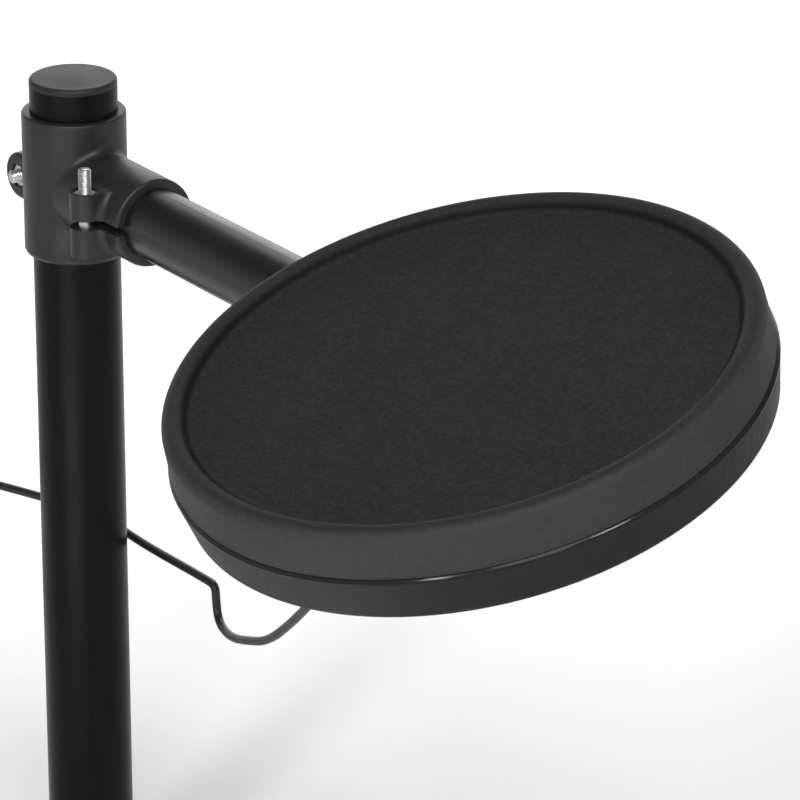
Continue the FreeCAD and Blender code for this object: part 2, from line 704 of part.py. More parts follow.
def plug_pieces():
    """Tip, grip and boot of a mini jack plug along +Z, with its shoulder at zero."""
    neck = PLUG_LONG - PLUG_TIP
    tip = polygon_spin([
        (0, 0),
        (PLUG_R, 0),
        (PLUG_R, neck - 2 * PLUG_NECK),
        (PLUG_R - PLUG_NECK, neck),
        (PLUG_R, neck + PLUG_TIP / 2),
        (PLUG_NECK, PLUG_LONG),
        (0, PLUG_LONG),
    ])
    grip_low = -PLUG_BODY_L
    grip = polygon_spin([
        (0, grip_low),
        (PLUG_REAR_R, grip_low),
        (PLUG_BODY_R, grip_low + PLUG_REAR_L),
        (PLUG_BODY_R, -PLUG_NECK),
        (PLUG_BODY_R - PLUG_NECK, 0),
        (0, 0),
    ])
    boot_low = grip_low - BOOT_L
    boot = Part.makeCone(BOOT_END_R, BOOT_R, BOOT_L, V(0, 0, boot_low), Z)
    step = BOOT_L / (BOOT_GROOVES + 1)
    grooves = []
    for k in range(1, BOOT_GROOVES + 1):
        low = boot_low + step * k - BOOT_GROOVE / 2
        ring = cyl(2 * BOOT_R, BOOT_GROOVE, (0, 0, low), Z)
        grooves.append(ring.cut(cyl(BOOT_CORE_R, BOOT_GROOVE, (0, 0, low), Z)))
    return {"tip": tip, "grip": grip, "boot": cut(boot, grooves)}


def pad_plug():
    made = {}
    for name, piece in plug_pieces().items():
        piece.translate(V(JACK_X, JACK_Y, base_low - JACK_NUT_H))
        made["pad_plug_" + name] = on_pad(piece)
    return made


def pad_point(x, y, z):
    return on_pad(Part.Vertex(x, y, z)).Point


def cord_route():
    """The lead from the pad's boot down a slack hang, up to a sharp turn, then tight past the post."""
    boot_end = base_low - JACK_NUT_H - PLUG_BODY_L - BOOT_L
    start = pad_point(JACK_X, JACK_Y, boot_end)
    straight = pad_point(JACK_X, JACK_Y, boot_end - LEAD_STRAIGHT)
    hang = [
        V(216.0, -33.0, ARM_Z - 68.0),
        V(190.0, -25.5, ARM_Z - 86.5),
        V(160.5, -15.5, ARM_Z - 110.5),
        V(128.5, -4.5, ARM_Z - 133.5),
        V(102.5, 4.0, ARM_Z - 145.5),
        V(84.0, 10.5, ARM_Z - 153.5),
        V(63.0, 18.0, ARM_Z - 158.0),
    ]
    fold = [V(60.4, 18.8, ARM_Z - 150.0), V(58.9, 19.2, ARM_Z - 143.4)]
    behind_post = [V(1.0, 21.5, ARM_Z - 147.0), V(-19.5, 18.0, ARM_Z - 141.5)]
    far = V(-68.5, -6.0, ARM_Z - 140.0)
    return [start, straight] + hang + fold + behind_post + [far]


def corner(before, point, after, radius):
    """Where an arc of a radius starts, bulges and ends at a corner of a route."""
    back = (before - point).normalize()
    ahead = (after - point).normalize()
    half = back.getAngle(ahead) / 2
    away = radius / math.tan(half)
    middle = (back + ahead).normalize() * (radius / math.sin(half) - radius)
    return point + back * away, point + middle, point + ahead * away


def corner_radius(before, point, after):
    turn = math.pi - (before - point).getAngle(after - point)
    shorter = min((before - point).Length, (after - point).Length)
    return CORD_BEND * shorter / math.tan(turn / 2)


def cord_tube(points, radius):
    """A round tube along straight runs and tangent arcs, each as large as its runs allow."""
    edges = []
    radii = []
    last = points[0]
    for k in range(1, len(points) - 1):
        bend = corner_radius(points[k - 1], points[k], points[k + 1])
        radii.append(bend)
        enter, middle, leave = corner(points[k - 1], points[k], points[k + 1], bend)
        edges.append(Part.LineSegment(last, enter).toShape())
        edges.append(Part.Arc(enter, middle, leave).toShape())
        last = leave
    edges.append(Part.LineSegment(last, points[-1]).toShape())
    path = Part.Wire(edges)
    section = Part.Wire(Part.makeCircle(radius, points[0], points[1] - points[0]))
    tube = path.makePipeShell([section], True, False)
    expected = math.pi * radius ** 2 * path.Length
    print("cord radii", [round(r, 1) for r in radii])
    print("cord length", round(path.Length, 1), "volume share", round(tube.Volume / expected, 4))
    return tube


def make_pad_cord():
    return cord_tube(cord_route(), LEAD_CORD_R)


def far_plug():
    """The plug on the lead's far end, in line with its last run."""
    route = cord_route()
    way = (route[-1] - route[-2]).normalize()
    shoulder = route[-1] + way * (PLUG_BODY_L + BOOT_L)
    made = {}
    for name, piece in plug_pieces().items():
        piece.Placement = FreeCAD.Placement(shoulder, FreeCAD.Rotation(Z, way))
        made["far_plug_" + name] = piece
    return made


parts = {
    "post_tube": make_post_tube(),
    "post_cap": make_post_cap(),
    "clamp_body": make_clamp_body(),
    "arm_tube": make_arm_tube(),
    "arm_cap": make_arm_cap(),
    "pad_face": make_pad_face(),
    "pad_rim": make_pad_rim(),
    "pad_plate": make_pad_plate(),
    "pad_base": make_pad_base(),
    "sensor_cushion": make_sensor_cushion(),
    "sensor_disc": make_sensor_disc(),
    "sensor_lead": make_sensor_lead(),
    "bracket_saddle": make_bracket_saddle(),
    "bracket_cap": make_bracket_cap(),
    "jack_socket": make_jack_socket(),
    "jack_nut": make_jack_nut(),
    "pad_cord": make_pad_cord(),
}
for group in (
    clamp_fasteners(),
    base_screws(),
    wing_bolts(),
    flange_screws(),
    pad_plug(),
    far_plug(),
):
    parts.update(group)

os.makedirs("parts", exist_ok=True)
for name, shape in parts.items():
    shape.exportStep("parts/%s.step" % name)
    print(name, "solids", len(shape.Solids), "valid", shape.isValid(), "volume", round(shape.Volume, 1))
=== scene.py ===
import json
import math

import bmesh
import bpy
from mathutils import Matrix, Quaternion, Vector


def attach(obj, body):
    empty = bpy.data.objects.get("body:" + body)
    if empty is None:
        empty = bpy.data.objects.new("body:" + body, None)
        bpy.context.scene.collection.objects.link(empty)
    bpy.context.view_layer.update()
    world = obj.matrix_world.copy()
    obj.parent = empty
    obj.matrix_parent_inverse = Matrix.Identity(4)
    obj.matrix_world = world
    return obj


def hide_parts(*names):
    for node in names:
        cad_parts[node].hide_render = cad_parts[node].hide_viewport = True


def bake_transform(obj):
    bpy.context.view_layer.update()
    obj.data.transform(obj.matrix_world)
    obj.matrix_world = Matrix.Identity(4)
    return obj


# Studio scene of one pad station of an electronic drum kit. Metres, in the part's own frame.
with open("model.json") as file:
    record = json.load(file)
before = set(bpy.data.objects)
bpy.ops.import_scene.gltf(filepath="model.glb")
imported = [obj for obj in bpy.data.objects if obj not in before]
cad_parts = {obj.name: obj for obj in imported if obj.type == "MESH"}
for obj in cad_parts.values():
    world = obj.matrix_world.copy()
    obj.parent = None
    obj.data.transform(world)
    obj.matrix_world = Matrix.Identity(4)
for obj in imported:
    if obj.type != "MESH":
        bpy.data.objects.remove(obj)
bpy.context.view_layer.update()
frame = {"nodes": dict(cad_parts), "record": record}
nodes = frame["nodes"]
scene = bpy.context.scene
scene.view_settings.view_transform = "Standard"

QUARTER = math.pi / 2

# Arm and pad, with sizes repeated from the part
ARM_Z = 0.300
PAD_X = 0.293
PAD_OFF = 0.0308  # from the arm's axis to the pad's centre line
TILT = math.radians(16.4)

# Rubber head, by height and radius about the pad's centre line
SEAM = 0.0337
CREST = 0.0499
RIM_R = 0.096
RIM_ROUND = 0.004
RIM_RISE = 0.00384
RIM_BLEND = 0.005
RIM_LEAN = math.radians(55)
SKIRT_FLARE = 0.0006
SKIRT_IN_R = 0.0924
SKIRT_EDGE = 0.0005
RUBBER_TOP = 0.0032
FACE = CREST - RIM_RISE

# Finishes of the pad, and a band of painted shade: the runs of radius or height in which one gives way to
# the next
RIM_TOP = (0.0888, 0.0900)  # grained face to smooth rim
RIM_WALL = (0.0934, 0.0950)  # rim to the lighter wall
PAINTED_CREASE_SHADE_IN = (0.0868, 0.0880)  # painted shade in the crease at the foot of the rim comes up here
PAINTED_CREASE_SHADE_OUT = (0.0884, 0.0896)  # and the painted shade goes again here
LIP_RUN = (SEAM - 0.0016, SEAM - 0.0012)  # satin side of the base to its glossy lip

# Foam puck over the sensor
PLATE_LOW = 0.04086
CUSHION_R = 0.012
CUSHION_H = 0.003
CUSHION_EASE = 0.0006

# Bolts of the clamp
BOLT_R = 0.0024
BOLT_HEAD_R = 0.0042
BOLT_HEAD_H = 0.005
BOLT_HEAD_EASE = 0.0005
BOLT_SOCKET = 0.004
BOLT_SOCKET_DEEP = 0.0026
BOLT_THREAD_L = 0.014
THREAD_PITCH = 0.0008
THREAD_DEPTH = 0.0004
THREAD_CHAMFER = 0.0007
ARM_BOLT = Vector((0.037, -0.0191, ARM_Z - 0.0066))
ARM_BOLT_LONG = 0.0266
POST_BOLT = Vector((-0.0222, 0.0052, ARM_Z - 0.0017))
POST_BOLT_LONG = 0.0192

# Plugs
PLUG_GRIP_R = 0.0046
PLUG_GRIP_L = 0.020
PLUG_GRIP_REAR_R = 0.0039
PLUG_GRIP_REAR_L = 0.005
PLUG_GRIP_EASE = 0.0005
FLUTES = 20
FLUTE_DEPTH = 0.0003
JACK_X = -0.060
JACK_Y = -0.020
PLUG_SHOULDER = 0.0151
BOOT_L = 0.016

# The lead's route, from the boot on the pad to the far plug
CORD_R = 0.0016
LEAD_START = (0.2330, -0.0428, 0.2656)
LEAD_ROUTE = [
    LEAD_START,
    (0.2330, -0.0389, 0.2522),
    (0.2160, -0.0330, 0.2320),
    (0.1900, -0.0255, 0.2135),
    (0.1605, -0.0155, 0.1895),
    (0.1285, -0.0045, 0.1665),
    (0.1025, 0.0040, 0.1545),
    (0.0840, 0.0105, 0.1465),
    (0.0698, 0.0156, 0.1431),
    (0.0624, 0.0182, 0.1444),
    (0.0604, 0.0188, 0.1504),
    (0.0598, 0.0190, 0.1561),
    (0.0536, 0.0194, 0.1563),
    (0.0010, 0.0215, 0.1530),
    (-0.0195, 0.0180, 0.1585),
    (-0.0685, -0.0060, 0.1600),
]

# Meshing
PAD_SEGMENTS = 256
FOAM_SEGMENTS = 64
BOLT_SEGMENTS = 48
GRIP_SEGMENTS = 120
CORD_SIDES = 20
CORD_STEPS = 24  # points for each point of the route
HOLLOW_STEPS = 10
BEAD_STEPS = 20
SKIRT_EDGE_STEPS = 4
EASE_STEPS = 5
THREAD_STEPS = 8  # rings in one turn of a thread
FACE_SHARES = (0.2, 0.4, 0.6, 0.8, 1.0)  # rings of the face, by radius
SKIRT_SHARES = (0.75, 0.5, 0.25)  # rings of the skirt, by height
SHARP = math.radians(35)  # an edge that turns more than this stays sharp
THREAD_SHARP = math.radians(50)

# The part of a noise over which a mottle goes from one end to the other
MOTTLE = (0.3, 0.7)

# Camera, solved from the tubes and the pad's outline
CAMERA_PLACE = Vector((1.39163, -0.86062, 0.88783))
CAMERA_AZIMUTH = math.radians(54.13)
CAMERA_ELEVATION = math.radians(22.41)
CAMERA_ROLL = math.radians(0.144)
CAMERA_LENS_MM = 214.79
CAMERA_SENSOR_MM = 36

# Studio: brightness of the walls by the sine of the elevation, and the floor
WALL = 0.7
WALL_TOP = 0.06
CEILING_FROM = 0.5
CEILING = 0.12
BACK_WALL = 1.4  # added on the side that the camera looks to
BACK_EDGE = (0.72, 0.92)
BACK_TOP = (0.46, 0.58)
FLOOR_COLOUR = 0.92
FLOOR_DRIFT = 0.01
FLOOR_HALF = 8.0
FLOOR_GLOW = 0.6
FLOOR_GLOW_RUN = (0.9, 2.4)  # distances between which the far floor's own light comes up
FLOOR_GAP = 0.0005

# Softboxes about the part: azimuth as the camera's, elevation, size and power
SOFTBOX_AWAY = 2.2
SOFTBOXES = {
    "key": (27, 29, (0.28, 0.34), 16),
    "front": (56, 41, (0.9, 0.9), 20),
    "right": (83, 42, (0.38, 0.24), 16),
}

# Lamps that shine straight down on the floor: place, size, power and spread in degrees
FLOOR_LAMPS = {
    "wash": ((-0.60, 0.54, 1.15), (0.5, 0.5), 4.8, 110),  # whitens the floor behind the part
    "patch": ((0.26, -0.41, 0.9), (0.2, 0.25), 1.2, 25),  # lights what the post mirrors
}


# Mesh helpers


def add_mesh(name, bm, material, sharp=SHARP):
    """A mesh object from a bmesh, with smooth faces and sharp edges past an angle."""
    bmesh.ops.recalc_face_normals(bm, faces=bm.faces)
    for face in bm.faces:
        face.smooth = True
    for edge in bm.edges:
        edge.smooth = edge.calc_face_angle(0) < sharp
    mesh = bpy.data.meshes.new(name)
    bm.to_mesh(mesh)
    bm.free()
    mesh.materials.append(material)
    piece = bpy.data.objects.new(name, mesh)
    scene.collection.objects.link(piece)
    return piece


def turned(rings, segments, closed=False):
    """A bmesh of rings about Z. A ring is a height and a radius, or a radius by angle; zero is a pole."""
    bm = bmesh.new()
    loops = []
    for height, radius in rings:
        if radius == 0:
            loops.append([bm.verts.new((0, 0, height))])
            continue
        loop = []
        for k in range(segments):
            angle = 2 * math.pi * k / segments
            r = radius(angle) if callable(radius) else radius
            loop.append(bm.verts.new((r * math.cos(angle), r * math.sin(angle), height)))
        loops.append(loop)
    pairs = list(zip(loops, loops[1:]))
    if closed:
        pairs.append((loops[-1], loops[0]))
    for low, high in pairs:
        for k in range(segments):
            n = (k + 1) % segments
            corners = [low[k % len(low)], low[n % len(low)], high[n % len(high)], high[k % len(high)]]
            bm.faces.new(list(dict.fromkeys(corners)))
    return bm


def arc_points(centre, radius, start, end, count):
    """Points of an arc, each a height and a radius, about a centre given as radius and height."""
    points = []
    for k in range(count + 1):
        angle = start + (end - start) * k / count
        points.append((centre[1] + radius * math.sin(angle), centre[0] + radius * math.cos(angle)))
    return points


def along(piece, start, axis):
    """Stands a piece made about Z at a place, along an axis."""
    turn = Vector(axis).to_track_quat("Z", "Y").to_matrix().to_4x4()
    piece.data.transform(Matrix.Translation(Vector(start)) @ turn)
    return piece


def pad_matrix():
    """From the pad's own centre line to its tilted place on the arm."""
    place = Matrix.Translation((PAD_X, 0, ARM_Z)) @ Matrix.Rotation(TILT, 4, "X")
    return place @ Matrix.Translation((0, -PAD_OFF, 0))


# Material helpers


class Shader:
    """A material with one principled shader and short calls for its nodes."""

    def __init__(self, name):
        self.material = bpy.data.materials.new(name)
        self.material.use_nodes = True
        self.tree = self.material.node_tree
        self.bsdf = self.tree.nodes["Principled BSDF"]
        self.place = self.add("ShaderNodeTexCoord").outputs["Object"]

    def add(self, kind):
        return self.tree.nodes.new(kind)

    def link(self, source, socket):
        self.tree.links.new(source, socket)

    def set(self, **values):
        for name, value in values.items():
            self.bsdf.inputs[name.replace("_", " ")].default_value = value

    def noise(self, scale, detail, rough=0.55, stretch=None):
        node = self.add("ShaderNodeTexNoise")
        node.inputs["Scale"].default_value = scale
        node.inputs["Detail"].default_value = detail
        node.inputs["Roughness"].default_value = rough
        source = self.place
        if stretch:
            mapping = self.add("ShaderNodeMapping")
            mapping.inputs["Scale"].default_value = stretch
            self.link(source, mapping.inputs["Vector"])
            source = mapping.outputs["Vector"]
        self.link(source, node.inputs["Vector"])
        return node.outputs["Fac"]

    def cells(self, scale):
        """The distance to the nearest of many scattered points."""
        node = self.add("ShaderNodeTexVoronoi")
        node.inputs["Scale"].default_value = scale
        self.link(self.place, node.inputs["Vector"])
        return node.outputs["Distance"]

    def ramp(self, source, stops):
        """A tone or a value that goes from one stop to another."""
        node = self.add("ShaderNodeValToRGB")
        for spot, (position, value) in zip(node.color_ramp.elements, stops):
            spot.position = position
            spot.color = (*value, 1) if isinstance(value, tuple) else (value, value, value, 1)
        self.link(source, node.inputs["Fac"])
        return node.outputs["Color"]

    def mottle(self, scale, detail, low, high):
        """A tone or a value that drifts between two ends."""
        return self.ramp(self.noise(scale, detail), zip(MOTTLE, (low, high)))

    def combine(self, a, b, operation="ADD"):
        node = self.add("ShaderNodeMath")
        node.operation = operation
        self.link(a, node.inputs[0])
        if isinstance(b, float):
            node.inputs[1].default_value = b
        else:
            self.link(b, node.inputs[1])
        return node.outputs[0]

    def span(self, source, low, high):
        """Zero at one value and one at another, with a straight run between."""
        node = self.add("ShaderNodeMapRange")
        node.inputs["From Min"].default_value = low
        node.inputs["From Max"].default_value = high
        self.link(source, node.inputs["Value"])
        return node.outputs["Result"]

    def mix(self, share, a, b):
        node = self.add("ShaderNodeMix")
        node.data_type = "RGBA"
        sockets = [socket for socket in node.inputs if socket.enabled]
        self.link(share, sockets[0])
        for socket, value in zip(sockets[1:], (a, b)):
            if isinstance(value, tuple):
                socket.default_value = (*value, 1)
            else:
                self.link(value, socket)
        return next(socket for socket in node.outputs if socket.enabled)

    def pad_place(self):
        """The place on the part, in the pad's own axes."""
        mapping = self.add("ShaderNodeMapping")
        mapping.vector_type = "TEXTURE"
        mapping.inputs["Location"].default_value = pad_matrix().translation
        mapping.inputs["Rotation"].default_value = (TILT, 0, 0)
        self.link(self.place, mapping.inputs["Vector"])
        return mapping.outputs["Vector"]

    def pad_radius(self):
        """The distance from the pad's own centre line."""
        flat = self.add("ShaderNodeVectorMath")
        flat.operation = "MULTIPLY"
        flat.inputs[1].default_value = (1, 1, 0)
        self.link(self.pad_place(), flat.inputs[0])
        return self.length(flat.outputs["Vector"])

    def pad_height(self):
        """The height along the pad's own centre line."""
        node = self.add("ShaderNodeSeparateXYZ")
        self.link(self.pad_place(), node.inputs["Vector"])
        return node.outputs["Z"]

    def length(self, source):
        node = self.add("ShaderNodeVectorMath")
        node.operation = "LENGTH"
        self.link(source, node.inputs[0])
        return node.outputs["Value"]

    def colour(self, source):
        self.link(source, self.bsdf.inputs["Base Color"])

    def roughness(self, source):
        self.link(source, self.bsdf.inputs["Roughness"])

    def bump(self, source, depth, strength):
        node = self.add("ShaderNodeBump")
        node.inputs["Strength"].default_value = strength
        node.inputs["Distance"].default_value = depth
        self.link(source, node.inputs["Height"])
        self.link(node.outputs["Normal"], self.bsdf.inputs["Normal"])


def grey(level, warm=0.0):
    return (level * (1 + warm), level, level * (1 - warm))


# Materials


def powder_coat(name, level, rough, shine):
    """Black powder coat: a low orange peel, with a little dust in its tone and gloss."""
    s = Shader(name)
    s.set(Specular_IOR_Level=shine)
    s.colour(s.mottle(60, 5, grey(level * 0.8), grey(level * 1.25)))
    s.roughness(s.mottle(25, 4, rough - 0.05, rough + 0.06))
    s.bump(s.noise(1400, 2), depth=0.00002, strength=0.5)
    return s.material


def moulded(name, level, rough):
    """Moulded black plastic with a fine spark grain and slow changes of gloss."""
    s = Shader(name)
    s.set(Specular_IOR_Level=0.3)
    s.colour(s.mottle(90, 5, grey(level * 0.85), grey(level * 1.2)))
    s.roughness(s.mottle(35, 4, rough - 0.06, rough + 0.07))
    s.bump(s.combine(s.noise(2200, 2), s.noise(300, 3)), depth=0.00003, strength=0.5)
    return s.material


def head_rubber():
    """Rubber head: a matte face with a close grain and pale specks, painted shade in the crease at the
    foot of the rim, and a smooth rim.
    """
    s = Shader("head_rubber")
    s.set(Specular_IOR_Level=0.04)
    radius = s.pad_radius()
    rim = s.span(radius, *RIM_TOP)
    wall = s.span(radius, *RIM_WALL)
    # Painted shade: a dark ring at the foot of the rim stands in for the shade that falls in the crease
    painted_crease_shade_mask = s.combine(s.span(radius, *PAINTED_CREASE_SHADE_IN), s.span(radius, *reversed(PAINTED_CREASE_SHADE_OUT)), "MULTIPLY")
    grain = s.combine(s.combine(s.noise(480, 3, 0.6), s.noise(1200, 2, 0.6)), 0.5, "MULTIPLY")
    face_tone = s.ramp(grain, [(0.38, grey(0.0160)), (0.62, grey(0.0265))])
    top_tone = s.ramp(grain, [(0.35, grey(0.0215)), (0.65, grey(0.0285))])
    wall_tone = s.ramp(grain, [(0.35, grey(0.031)), (0.65, grey(0.039))])
    # tone of the painted shade in the crease
    painted_crease_shade_tone = grey(0.0085)
    speck_tone = grey(0.07)
    specks = s.ramp(s.cells(420), [(0.06, 1.0), (0.12, 0.0)])
    rare = s.ramp(s.noise(160, 1), [(0.64, 0.0), (0.68, 1.0)])
    specked = s.mix(s.combine(specks, rare, "MULTIPLY"), face_tone, speck_tone)
    smooth = s.mix(wall, s.mix(rim, specked, top_tone), wall_tone)
    # darkens the crease with the painted shade
    s.colour(s.mix(painted_crease_shade_mask, smooth, painted_crease_shade_tone))
    face_rough = s.mottle(30, 5, 0.62, 0.74)
    rim_rough = s.mottle(40, 5, 0.46, 0.56)
    s.roughness(s.mix(rim, face_rough, rim_rough))
    s.bump(s.combine(s.noise(1500, 3), s.noise(500, 2)), depth=0.00005, strength=0.6)
    return s.material


def base_plastic(level):
    """Moulded tray: satin sides with slow waves and fine rubs, and a glossy lip at the seam."""
    s = Shader("base_plastic")
    s.set(Specular_IOR_Level=0.1)
    s.colour(s.mottle(50, 4, grey(level * 0.9), grey(level * 1.15)))
    rubs = s.noise(700, 3, 0.6, stretch=(1, 1, 0.08))
    side_rough = s.ramp(rubs, [(0.35, 0.44), (0.75, 0.56)])
    lip_rough = s.ramp(rubs, [(0.35, 0.1), (0.75, 0.17)])
    s.roughness(s.mix(s.span(s.pad_height(), *LIP_RUN), side_rough, lip_rough))
    s.bump(s.noise(40, 2), depth=0.00004, strength=0.3)
    return s.material


def plated(name, level, rough):
    """Bright zinc or nickel plate with a soft mottle and turning marks."""
    s = Shader(name)
    s.set(Metallic=1.0)
    s.colour(s.mottle(500, 4, grey(level * 0.88, warm=0.01), grey(level)))
    s.roughness(s.mottle(900, 3, rough - 0.05, rough + 0.1))
    s.bump(s.noise(1800, 2), depth=0.00001, strength=0.4)
    return s.material


def lead_jacket():
    """Soft black jacket with a fine grain."""
    s = Shader("lead_jacket")
    s.set(Specular_IOR_Level=0.4)
    s.colour(s.mottle(120, 4, grey(0.010), grey(0.016)))
    s.roughness(s.mottle(80, 3, 0.36, 0.46))
    s.bump(s.noise(1500, 2), depth=0.00003, strength=0.4)
    return s.material


def foam():
    """Open grey foam."""
    s = Shader("foam")
    s.set(Specular_IOR_Level=0.2, Roughness=0.9)
    s.colour(s.mottle(600, 4, grey(0.10), grey(0.17)))
    s.bump(s.cells(900), depth=0.0002, strength=0.8)
    return s.material


def brass():
    """Dull brass of the sensor's disc."""
    s = Shader("sensor_brass")
    s.set(Metallic=1.0)
    s.colour(s.mottle(300, 4, (0.62, 0.46, 0.19), (0.75, 0.58, 0.28)))
    s.roughness(s.mottle(400, 3, 0.25, 0.4))
    return s.material


BRACKET_PLASTIC = moulded("bracket_plastic", level=0.012, rough=0.46)

# Materials by the slots of the record
MATERIALS = {
    "post_paint": powder_coat("post_coat", level=0.002, rough=0.34, shine=0.11),
    "arm_paint": powder_coat("arm_coat", level=0.006, rough=0.30, shine=0.4),
    "cap_plastic": moulded("cap_plastic", level=0.012, rough=0.5),
    "clamp_plastic": moulded("clamp_plastic", level=0.015, rough=0.4),
    "head_rubber": head_rubber(),
    "plate_steel": plated("plate_steel", level=0.55, rough=0.32),
    "base_plastic": base_plastic(level=0.0135),
    "foam": foam(),
    "sensor_brass": brass(),
    "cord_rubber": lead_jacket(),
    "bracket_plastic": BRACKET_PLASTIC,
    "jack_plastic": BRACKET_PLASTIC,
    "wing_plastic": BRACKET_PLASTIC,
    "zinc": plated("zinc", level=0.62, rough=0.36),
    "plug_metal": plated("nickel", level=0.72, rough=0.16),
    "plug_plastic": moulded("plug_plastic", level=0.012, rough=0.4),
}


def dress_nodes():
    """Gives each CAD node the material of its slot in the record."""
    for part in frame["record"]["subparts"]:
        node = nodes[part["node"]]
        node.data.materials.clear()
        node.data.materials.append(MATERIALS[part["material_slot"]])


# Pieces


def rim_hollow():
    """The centre, in radius and height, of the hollow between the playing face and the rim."""
    slope_top_r = RIM_R - RIM_ROUND - RIM_ROUND * math.sin(RIM_LEAN)
    slope_top_z = CREST - RIM_ROUND + RIM_ROUND * math.cos(RIM_LEAN)
    slope_low_z = FACE + RIM_BLEND * (1 - math.cos(RIM_LEAN))
    slope_low_r = slope_top_r - (slope_top_z - slope_low_z) / math.tan(RIM_LEAN)
    return slope_low_r - RIM_BLEND * math.sin(RIM_LEAN), FACE + RIM_BLEND


def on_pad(piece, node):
    """Stands a piece for a node of the pad, from the pad's own frame."""
    piece.data.transform(pad_matrix())
    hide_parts(node)
    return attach(piece, "pad")


def playing_face():
    """The grained flat of the rubber head."""
    edge = rim_hollow()[0]
    low = FACE - RUBBER_TOP
    rings = [(FACE, 0)]
    rings += [(FACE, edge * share) for share in FACE_SHARES]
    rings += [(low, edge), (low, 0)]
    piece = add_mesh("playing_face", turned(rings, PAD_SEGMENTS), MATERIALS["head_rubber"])
    return on_pad(piece, "pad_face")


def rubber_rim():
    """The smooth part of the rubber head: hollow, rounded rim and skirt with a soft lower edge."""
    hollow = rim_hollow()
    bead = (RIM_R - RIM_ROUND, CREST - RIM_ROUND)
    skirt_h = bead[1] - SEAM
    skirt_r = RIM_R + SKIRT_FLARE
    edge = (skirt_r - SKIRT_EDGE, SEAM + SKIRT_EDGE)
    rings = [(FACE - RUBBER_TOP, hollow[0])]
    rings += arc_points(hollow, RIM_BLEND, -QUARTER, RIM_LEAN - QUARTER, HOLLOW_STEPS)
    rings += arc_points(bead, RIM_ROUND, RIM_LEAN + QUARTER, 0, BEAD_STEPS)
    rings += [(SEAM + share * skirt_h, skirt_r - share * SKIRT_FLARE) for share in SKIRT_SHARES]
    rings += arc_points(edge, SKIRT_EDGE, 0, -QUARTER, SKIRT_EDGE_STEPS)
    rings += [(SEAM, SKIRT_IN_R), (FACE - RUBBER_TOP, SKIRT_IN_R)]
    piece = add_mesh("rubber_rim", turned(rings, PAD_SEGMENTS, closed=True), MATERIALS["head_rubber"])
    return on_pad(piece, "pad_rim")


def sensor_foam():
    """The foam puck over the sensor, with eased edges."""
    low = PLATE_LOW - CUSHION_H
    ease = CUSHION_EASE
    rings = [(low, 0), (low, CUSHION_R / 2)]
    rings += arc_points((CUSHION_R - ease, low + ease), ease, -QUARTER, 0, EASE_STEPS)
    rings += arc_points((CUSHION_R - ease, PLATE_LOW - ease), ease, 0, QUARTER, EASE_STEPS)
    rings += [(PLATE_LOW, CUSHION_R / 2), (PLATE_LOW, 0)]
    piece = add_mesh("sensor_foam", turned(rings, FOAM_SEGMENTS), MATERIALS["foam"])
    return on_pad(piece, "sensor_cushion")


def clamp_bolt(name, node, body, start, axis, long):
    """A socket bolt with a rolled thread on its outer end."""
    thread_from = long - BOLT_THREAD_L

    def thread(height):
        """The radius by angle at a height of the thread, chamfered at its end."""
        top = BOLT_R - max(0.0, THREAD_CHAMFER - (long - height))

        def radius(angle):
            turn = (height / THREAD_PITCH - angle / (2 * math.pi)) % 1.0
            return min(top, BOLT_R - THREAD_DEPTH * abs(2 * turn - 1))

        return radius

    def socket(angle):
        """The radius by angle of the six-sided socket."""
        side = (angle + math.pi / 6) % (math.pi / 3) - math.pi / 6
        return BOLT_SOCKET / 2 / math.cos(side)

    ease = BOLT_HEAD_EASE
    floor = BOLT_SOCKET_DEEP - BOLT_HEAD_H
    floor_cone = BOLT_SOCKET / 8
    rings = [(floor - floor_cone, 0), (floor, socket), (-BOLT_HEAD_H, socket)]
    rings += arc_points((BOLT_HEAD_R - ease, ease - BOLT_HEAD_H), ease, -QUARTER, 0, EASE_STEPS)
    rings += [(-ease / 2, BOLT_HEAD_R), (0, BOLT_HEAD_R - ease / 2), (0, BOLT_R), (thread_from, BOLT_R)]
    count = int((long - thread_from) / THREAD_PITCH * THREAD_STEPS)
    for k in range(1, count + 1):
        height = thread_from + (long - thread_from) * k / count
        rings.append((height, thread(height)))
    rings.append((long, 0))
    piece = add_mesh(name, turned(rings, BOLT_SEGMENTS), MATERIALS["zinc"], THREAD_SHARP)
    along(piece, start, axis)
    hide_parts(node)
    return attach(piece, body)


def plug_grip(name, node, body, shoulder, axis):
    """A plug's grip with fine flutes along its waist."""

    def fluted(angle):
        return PLUG_GRIP_R - FLUTE_DEPTH * (0.5 + 0.5 * math.cos(FLUTES * angle))

    low = -PLUG_GRIP_L
    waist = low + PLUG_GRIP_REAR_L
    ease = PLUG_GRIP_EASE
    collar = 5 * ease
    rings = [
        (low, 0),
        (low, PLUG_GRIP_REAR_R - ease),
        (low + ease, PLUG_GRIP_REAR_R),
        (waist, PLUG_GRIP_R),
        (waist + ease, PLUG_GRIP_R),
        (waist + 2 * ease, fluted),
        (-collar - ease, fluted),
        (-collar, PLUG_GRIP_R),
        (-ease, PLUG_GRIP_R),
        (0, PLUG_GRIP_R - ease),
        (0, 0),
    ]
    piece = add_mesh(name, turned(rings, GRIP_SEGMENTS), MATERIALS["plug_plastic"])
    along(piece, shoulder, axis)
    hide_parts(node)
    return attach(piece, body)


def lead_line():
    """Points along the lead's smooth line."""
    curve = bpy.data.curves.new("lead_line", "CURVE")
    curve.dimensions = "3D"
    curve.resolution_u = CORD_STEPS
    spline = curve.splines.new("NURBS")
    spline.points.add(len(LEAD_ROUTE) - 1)
    for point, place in zip(spline.points, LEAD_ROUTE):
        point.co = (*place, 1)
    spline.order_u = 3
    spline.use_endpoint_u = True
    holder = bpy.data.objects.new("lead_line", curve)
    scene.collection.objects.link(holder)
    mesh = bpy.data.meshes.new_from_object(holder)
    points = [vertex.co.copy() for vertex in mesh.vertices]
    bpy.data.objects.remove(holder)
    bpy.data.meshes.remove(mesh)
    bpy.data.curves.remove(curve)
    return points


